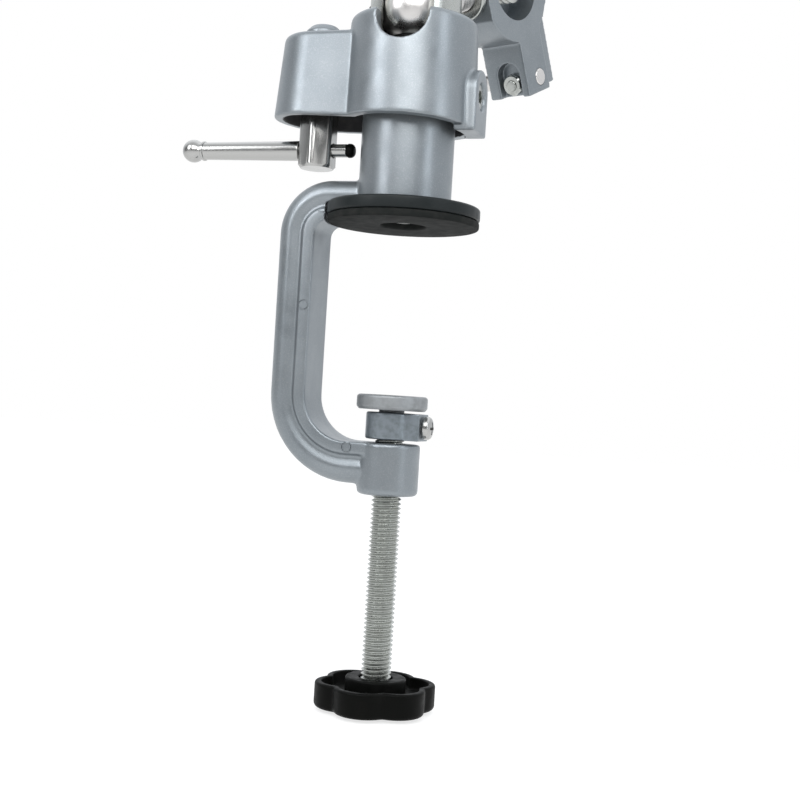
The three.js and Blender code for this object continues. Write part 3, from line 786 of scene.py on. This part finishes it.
def housing_inside():
    cup = Span("seat_cup")
    dish_r, hole_r, steps = 8.1, 3.0, 8
    dish = []
    for k in range(steps + 1):
        r = dish_r - (dish_r - hole_r) * k / steps
        dish.append((r, BALL.z - math.sqrt(SEAT_R ** 2 - r ** 2)))
    profile = fillet([(hole_r, cup.low.z), (9.0, cup.low.z, 0.3), (8.4, cup.high.z)], 4) + dish
    # The seat cup is black plastic, and its black also serves as painted shade under the ball in the front
    # notch.
    piece("ball_seat", lathe(profile, SMALL, loop=True), PLASTIC, "ball_housing", "seat_cup")

    yoke = frame["nodes"]["clamp_yoke"]
    bevelled = bpy.data.objects.new("yoke_lever", yoke.data.copy())
    bpy.context.scene.collection.objects.link(bevelled)
    bevel = bevelled.modifiers.new("edge", "BEVEL")
    bevel.width = 0.4 * MM
    bevel.segments = 2
    bevel.limit_method = "ANGLE"
    apply_modifiers(bevelled)
    finish_piece(bevelled, ZINC[0], "ball_housing", ["clamp_yoke"])

    stud = Span("clamp_stud")
    crown = HOUSE["lobe_top"] + 1.2
    shank_r, head_r = 3.8, 6.2
    shape = turned([
        (0, stud.low.z), (shank_r, stud.low.z, 0.6), (shank_r, crown), (head_r, crown, 0.2),
        (head_r, crown + 1.2, 1.2), (4.0, stud.high.z, 2.5), (0, stud.high.z),
    ], SMALL)
    piece("lobe_stud", shape.moved(x=stud.mid.x), PAINT, "ball_housing", "clamp_stud")

    pivot = Span("pivot_screw")
    head_left, head_r, shank_r = pivot.high.x - 1.9, pivot.size.z / 2, 2.6
    turning = [
        (0, pivot.low.x), (shank_r, pivot.low.x, 0.3), (shank_r, head_left, 0.2), (head_r, head_left, 0.2),
        (head_r, pivot.high.x, 0.6), (0, pivot.high.x),
    ]
    obj = raw("ear_screw", turned(turning, SMALL).placed(ALONG_X).moved(z=pivot.mid.z))
    socket = hexagon_bar(4.0, pivot.high.x - 1.5, pivot.high.x + 1, 0.01, 0.0).placed(ALONG_X)
    carve(obj, socket.moved(z=pivot.mid.z))
    finish_piece(obj, ZINC[0], "ball_housing", ["pivot_screw"])


def tommy():
    nut = Span("tommy_nut")
    bar = Span("tommy_bar")
    cap = Span("bar_end_cap")
    z = bar.mid.z
    obj = raw("lever_nut", hexagon_bar(nut.size.x, nut.low.z, nut.high.z, 1.0, 0.3).moved(x=LOBE_X))
    carve(obj, drum(4.1, nut.high.z - 12.5, nut.high.z + 1, 0).moved(x=LOBE_X),
          drum(2.5, nut.low.x - 2, nut.high.x + 2, 0).placed(ALONG_X).moved(z=z))
    finish_piece(obj, CHROME[0], "tommy_nut", ["tommy_nut"])

    ball_r = bar.size.y / 2
    ball_x = bar.low.x + ball_r
    neck_r, shank_r, stub_r = 2.95, 3.35, 2.2
    shoulder = nut.low.x - 0.3
    start = math.asin(neck_r / ball_r)
    steps = 20
    profile = []
    for k in range(1, steps + 1):
        angle = math.pi - (math.pi - start) * k / steps
        profile.append((ball_r * math.sin(angle), ball_x + ball_r * math.cos(angle)))
    collar_left = ball_x + 3.5
    profile += fillet([
        (neck_r, collar_left - 0.3), (neck_r, collar_left, 0.1), (3.35, collar_left + 0.1, 0.3),
        (3.35, collar_left + 0.9, 0.3), (neck_r, collar_left + 1.0, 0.1), (shank_r, shoulder, 0.5),
        (stub_r, shoulder, 0.1), (stub_r, bar.high.x, 0.3), (0.05, bar.high.x),
    ], 5)
    piece("lever_bar", lathe(profile, SMALL).placed(ALONG_X).moved(z=z), CHROME, "tommy_nut", "tommy_bar")
    end = turned([(0, cap.low.x), (2.35, cap.low.x, 0.2), (2.35, cap.high.x, 1.5), (0, cap.high.x)], SMALL)
    piece("lever_stub_cap", end.placed(ALONG_X).moved(z=z), PLASTIC, "tommy_nut", "bar_end_cap")


# ---- ball stud and vise head -----------------------------------------------------------------------------
head_body = Span("vise_body", HEAD)
jaw = Span("moving_jaw", HEAD)
rod_low = Span("guide_rod_lower", HEAD)
rod_high = Span("guide_rod_upper", HEAD)
spindle_box = Span("spindle", HEAD)
STEM_R = 4.95
BALL_R = 12.5
BAR = {
    "left": -8.5, "right": 8.5, "half": head_body.high.y, "bottom": 45.5, "top": 60.0, "jaw_thick": 10.0,
}
SPINDLE_Z = spindle_box.mid.z
HEAD_BOSS = {
    "r": 20.6, "recess_r": 13.0, "recess_left": -2.0, "flat": head_body.low.z, "stem_hole_top": 38.5,
}
MOVING = {
    "boss_proud": 0.5, "boss_r": 11.0, "bar_step": 2.0, "bore_r": 4.25,
    "counterbore_r": 7.0, "counterbore": 3.0,
}
POCKET = {"x": 0.8, "y": 31.6, "r": 4.6, "depth": 3.6, "mouth": 10.0}


def in_head(shape):
    return shape.placed(HEAD)


def ball_stud():
    stud = Span("ball_stud", HEAD)
    steps = 48
    neck_r = 6.0
    start = math.asin(neck_r / BALL_R)
    profile = []
    for k in range(1, steps + 1):
        angle = math.pi - (math.pi - start) * k / steps
        profile.append((BALL_R * math.sin(angle), BALL_R * math.cos(angle)))
    profile += fillet([(neck_r, 11.2), (neck_r, 20.0, 0.5), (4.2, 20.9, 0.4), (4.2, 22.0), (0.05, 22.0)], 5)
    shape = lathe(profile, FINE) + threaded_rod(STEM_R, PITCH, 21.0, stud.high.z)
    piece("ball_and_stem", in_head(shape), POLISHED, "ball_stud", "ball_stud", sharp=25)
    nut = Span("lock_nut", HEAD)
    lock = tube(nut.size.x / 2, 5.1, nut.low.z, nut.high.z, 0.7)
    piece("stem_lock_nut", in_head(lock), ZINC, "ball_stud", "lock_nut")


def rod_x(r, left, right, y, z, edge=0.0, sides=SMALL):
    return drum(r, left, right, edge, sides).placed(ALONG_X).moved(y=y, z=z)


def rod_holes(left, right):
    r = rod_low.size.z / 2 + 0.12
    return [rod_x(r, left, right, box.mid.y, box.mid.z) for box in (rod_low, rod_high)]


def vise_body():
    left, right, half = BAR["left"], BAR["right"], BAR["half"]
    bottom, top = BAR["bottom"], BAR["top"]
    solids = [
        block(left, right, -half, half, bottom, top),
        block(left, left + BAR["jaw_thick"], -half, half, top - 1, head_body.high.z),
        rod_x(HEAD_BOSS["r"], left, right, 0, SPINDLE_Z, 0, FINE),
    ]
    under_boss = block(left - 1, right + 1, -15, 15, SPINDLE_Z - HEAD_BOSS["r"] - 1, HEAD_BOSS["flat"])
    pockets = []
    for side in (-1, 1):
        y = side * POCKET["y"]
        x = POCKET["x"]
        r = POCKET["r"]
        pockets.append(drum(r, bottom - 1, bottom + POCKET["depth"], 0).moved(x, y))
        near, far = sorted((y, y + side * POCKET["mouth"]))
        pockets.append(block(x - r, x + r, near, far, bottom - 1, bottom + POCKET["depth"]))
    casting(
        "head_casting", [in_head(solid) for solid in solids], PAINT, "vise_head", "vise_body",
        rough_cuts=[in_head(cut) for cut in [under_boss] + pockets],
        clean_cuts=[in_head(cut) for cut in [
            rod_x(7.1, left - 1, right + 1, 0, SPINDLE_Z, 0, FINE),
            rod_x(HEAD_BOSS["recess_r"], HEAD_BOSS["recess_left"], right + 1, 0, SPINDLE_Z, 0, FINE),
            drum(5.1, HEAD_BOSS["flat"] - 1, HEAD_BOSS["stem_hole_top"], 0),
        ] + rod_holes(left - 1, right + 1)],
        voxel=0.36, rounds=5,
    )


def moving_jaw():
    left, right, half = jaw.low.x + MOVING["boss_proud"], jaw.high.x, BAR["half"]
    solids = [
        block(left, right, -half, half, BAR["bottom"], BAR["top"]),
        block(left + MOVING["bar_step"], right, -half, half, BAR["top"] - 1, jaw.high.z),
        rod_x(MOVING["boss_r"], jaw.low.x, right, 0, SPINDLE_Z, 0, FINE),
    ]
    casting(
        "jaw_casting", [in_head(solid) for solid in solids], PAINT, "moving_jaw", "moving_jaw",
        clean_cuts=[in_head(cut) for cut in [
            rod_x(MOVING["bore_r"], jaw.low.x - 2, right + 1, 0, SPINDLE_Z),
            rod_x(MOVING["counterbore_r"], right - MOVING["counterbore"], right + 1, 0, SPINDLE_Z),
        ] + rod_holes(left - 2, right + 1)],
        voxel=0.36, rounds=5,
    )


def jaw_plate(name, node, way, body):
    """A ground plate with a V-groove along its face; way is the side that the face looks to."""
    box = Span(node, HEAD)
    face = box.high.x if way > 0 else box.low.x
    back = box.low.x if way > 0 else box.high.x
    groove_z, deep = 70.0, 1.4
    corners = [
        (back, box.low.z, 0.2), (face, box.low.z, 0.5), (face, groove_z - deep, 0.2),
        (face - way * deep, groove_z, 0.15), (face, groove_z + deep, 0.2), (face, box.high.z, 0.5),
        (back, box.high.z, 0.2),
    ]
    outline = fillet(corners, 4, closed=True)
    length, bevel = box.size.y / 2, 0.35
    mid_x, mid_z = (face + back) / 2, box.mid.z
    rings = []
    for y, inset in ((-length, bevel), (-length + bevel, 0.0), (length - bevel, 0.0), (length, bevel)):
        ring_points = []
        for x, z in outline:
            step_x = inset * math.copysign(1, x - mid_x) * 0.6
            step_z = inset * math.copysign(1, z - mid_z) * 0.6
            ring_points.append((x - step_x, y, z - step_z))
        rings.append(ring_points)
    piece(name, in_head(loft(rings)), GROUND, body, node)


def rods_and_clips():
    for side, box in (("lower", rod_low), ("upper", rod_high)):
        r = box.size.z / 2
        rod = rod_x(r, box.low.x, box.high.x, box.mid.y, box.mid.z, 0.5)
        piece(f"rod_{side}", in_head(rod), POLISHED, "vise_head", f"guide_rod_{side}")
        clip = Span(f"rod_clip_{side}", HEAD)
        washer = tube(r + 1.6, r + 0.05, clip.low.x, clip.high.x, 0.2, SMALL).placed(ALONG_X)
        washer = washer.moved(y=box.mid.y, z=box.mid.z)
        piece(f"clip_{side}", in_head(washer), ZINC, "vise_head", f"rod_clip_{side}")
        nut = Span(f"jaw_nut_{side}", HEAD)
        x, y = nut.mid.x, nut.mid.y
        obj = raw(f"nut_{side}", in_head(hexagon_bar(7.0, nut.low.z, nut.high.z, 0.5, 0.1).moved(x, y)))
        carve(obj, in_head(drum(2.0, nut.low.z - 1, nut.high.z + 1, 0, 32).moved(x, y)))
        bolt = in_head(drum(1.9, nut.low.z - 0.5, nut.high.z, 0.3, 32).moved(x, y))
        finish_piece(obj, ZINC[0], "vise_head", [f"jaw_nut_{side}"])
        piece(f"jaw_bolt_{side}", bolt, ZINC, "vise_head")


def spindle():
    box = spindle_box
    thread_left = jaw.high.x - 2.7
    shape = threaded_rod(6.75, 2.0, thread_left, box.high.x, 96)
    shape = shape + drum(4.0, box.low.x, thread_left + 1, 0.3)
    shape = shape.placed(ALONG_X).moved(z=SPINDLE_Z)
    piece("spindle_thread", in_head(shape), ZINC, "spindle", "spindle", sharp=25)

    grip = Span("spindle_knob", HEAD)
    r, flutes = 10.0, 8

    def fluted(inset):
        def radius(angle):
            sector = (angle + math.pi / flutes) % (math.tau / flutes) - math.pi / flutes
            away = math.pi / flutes - abs(sector)
            reach, flute = r + 1.6, 3.0
            dip = math.sqrt(max(flute ** 2 - (reach * math.sin(away)) ** 2, 0.0))
            cut = reach * math.cos(away) - dip if dip > 0 else r
            return min(r, cut) - inset
        return radius

    edge, steps = 1.2, 5
    rings = [(4.0, grip.low.x + 0.6), (6.0, grip.low.x + 0.4), (6.8, grip.low.x)]
    for k in range(steps + 1):
        angle = math.pi / 2 * k / steps
        rings.append((fluted(edge * (1 - math.sin(angle))), grip.low.x + edge * (1 - math.cos(angle))))
    for k in range(steps + 1):
        angle = math.pi / 2 * k / steps
        rings.append((fluted(edge * (1 - math.cos(angle))), grip.high.x - edge * (1 - math.sin(angle))))
    rings += [(7.0, grip.high.x), (4.3, grip.high.x), (4.3, grip.high.x - 2)]
    shape = polar(rings, 240).placed(ALONG_X).moved(z=SPINDLE_Z)
    piece("spindle_grip", in_head(shape), PLASTIC, "spindle", "spindle_knob", sharp=40)


# ---- stage ------------------------------------------------------------------------------------------------
def floor():
    half = 2500
    obj = raw("floor", block(-half, half, -half, half, knob.low.z - 6, knob.low.z - 1))
    paper = Look("pale_floor", (0.3, 0.3, 0.3), 0.85)
    paper.tint(paper.ramp(paper.noise(40, 3), 0.4, 0.6), (0.305, 0.305, 0.305))
    paper.shader.inputs["Emission Color"].default_value = (1, 1, 1, 1)
    paper.shader.inputs["Emission Strength"].default_value = 0.74
    obj.data.materials.append(paper.material)


def light(name, place, target, size, watts, color=(1, 1, 1)):
    data = bpy.data.lights.new(name, "AREA")
    data.shape = "RECTANGLE"
    data.size, data.size_y = size
    data.energy = watts
    data.color = color
    obj = bpy.data.objects.new(name, data)
    bpy.context.scene.collection.objects.link(obj)
    obj.location = place
    obj.rotation_mode = "QUATERNION"
    obj.rotation_quaternion = (Vector(target) - Vector(place)).to_track_quat("-Z", "Y")


def studio():
    world = bpy.data.worlds.new("studio")
    bpy.context.scene.world = world
    world.use_nodes = True
    nodes, links = world.node_tree.nodes, world.node_tree.links
    nodes.clear()
    output = nodes.new("ShaderNodeOutputWorld")
    seen = nodes.new("ShaderNodeBackground")
    seen.inputs["Color"].default_value = (1, 1, 1, 1)
    seen.inputs["Strength"].default_value = 1.0
    around = nodes.new("ShaderNodeBackground")
    around.inputs["Color"].default_value = (0.95, 0.97, 1.0, 1)
    direction = nodes.new("ShaderNodeSeparateXYZ")
    links.new(nodes.new("ShaderNodeTexCoord").outputs["Generated"], direction.inputs[0])
    total = nodes.new("ShaderNodeMath")
    total.operation = "ADD"
    # The room behind the camera is dark; the sweep behind the object and the ceiling are bright.
    glows = (("Y", -0.35, 0.25, 0.2, 0.95), ("Z", 0.3, 0.75, 0, 0.6))
    for i, (axis, low, high, to_low, to_high) in enumerate(glows):
        ramp = nodes.new("ShaderNodeMapRange")
        ramp.inputs["From Min"].default_value = low
        ramp.inputs["From Max"].default_value = high
        ramp.inputs["To Min"].default_value = to_low
        ramp.inputs["To Max"].default_value = to_high
        links.new(direction.outputs[axis], ramp.inputs["Value"])
        links.new(ramp.outputs["Result"], total.inputs[i])
    links.new(total.outputs["Value"], around.inputs["Strength"])
    path = nodes.new("ShaderNodeLightPath")
    mix = nodes.new("ShaderNodeMixShader")
    links.new(path.outputs["Is Camera Ray"], mix.inputs[0])
    links.new(around.outputs[0], mix.inputs[1])
    links.new(seen.outputs[0], mix.inputs[2])
    links.new(mix.outputs[0], output.inputs["Surface"])
    light("key", (0.08, -0.34, 0.24), (0, 0, 0.06), (0.34, 0.26), 1.25)
    light("left", (-0.34, -0.42, 0.26), (0, 0, 0.05), (0.22, 0.34), 1.3, (0.97, 0.98, 1.0))
    light("right", (0.7, -0.25, 0.25), (0, 0, 0), (0.16, 0.6), 1.2, (0.92, 0.96, 1.0))
    bpy.context.scene.view_settings.view_transform = "Standard"


def camera():
    """A nearly level view, 422 mm from the clamp screw's axis, rolled by 3.5 degrees."""
    azimuth, distance, height, aside, roll, pitch = 17.5, 422.0, -58.1, 2.5, 0.0605, 0.0024
    a = math.radians(azimuth)
    right = Vector((math.cos(a), math.sin(a), 0))
    level = Vector((-math.sin(a), math.cos(a), 0))
    up = Vector((0, 0, 1))
    ahead = (level + up * pitch).normalized()
    up = right.cross(ahead)
    turned_right = (right + up * roll).normalized()
    turned_up = turned_right.cross(ahead)
    data = bpy.data.cameras.new("camera")
    data.sensor_width = 36
    data.lens = 57.6
    data.clip_start, data.clip_end = 0.01, 20
    obj = bpy.data.objects.new("camera", data)
    bpy.context.scene.collection.objects.link(obj)
    place = (right * aside - level * distance + Vector((0, 0, height))) * MM
    obj.matrix_world = Matrix((turned_right, turned_up, -ahead)).transposed().to_4x4()
    obj.location = place
    bpy.context.scene.camera = obj


camera()
clamp_frame()
upper_pad()
disc_and_collar()
star_knob()
clamp_screw()
ball_housing()
retaining_ring()
housing_inside()
tommy()
ball_stud()
vise_body()
moving_jaw()
jaw_plate("plate_fixed", "fixed_jaw_plate", -1, "vise_head")
jaw_plate("plate_moving", "moving_jaw_plate", 1, "moving_jaw")
rods_and_clips()
spindle()
floor()
studio()
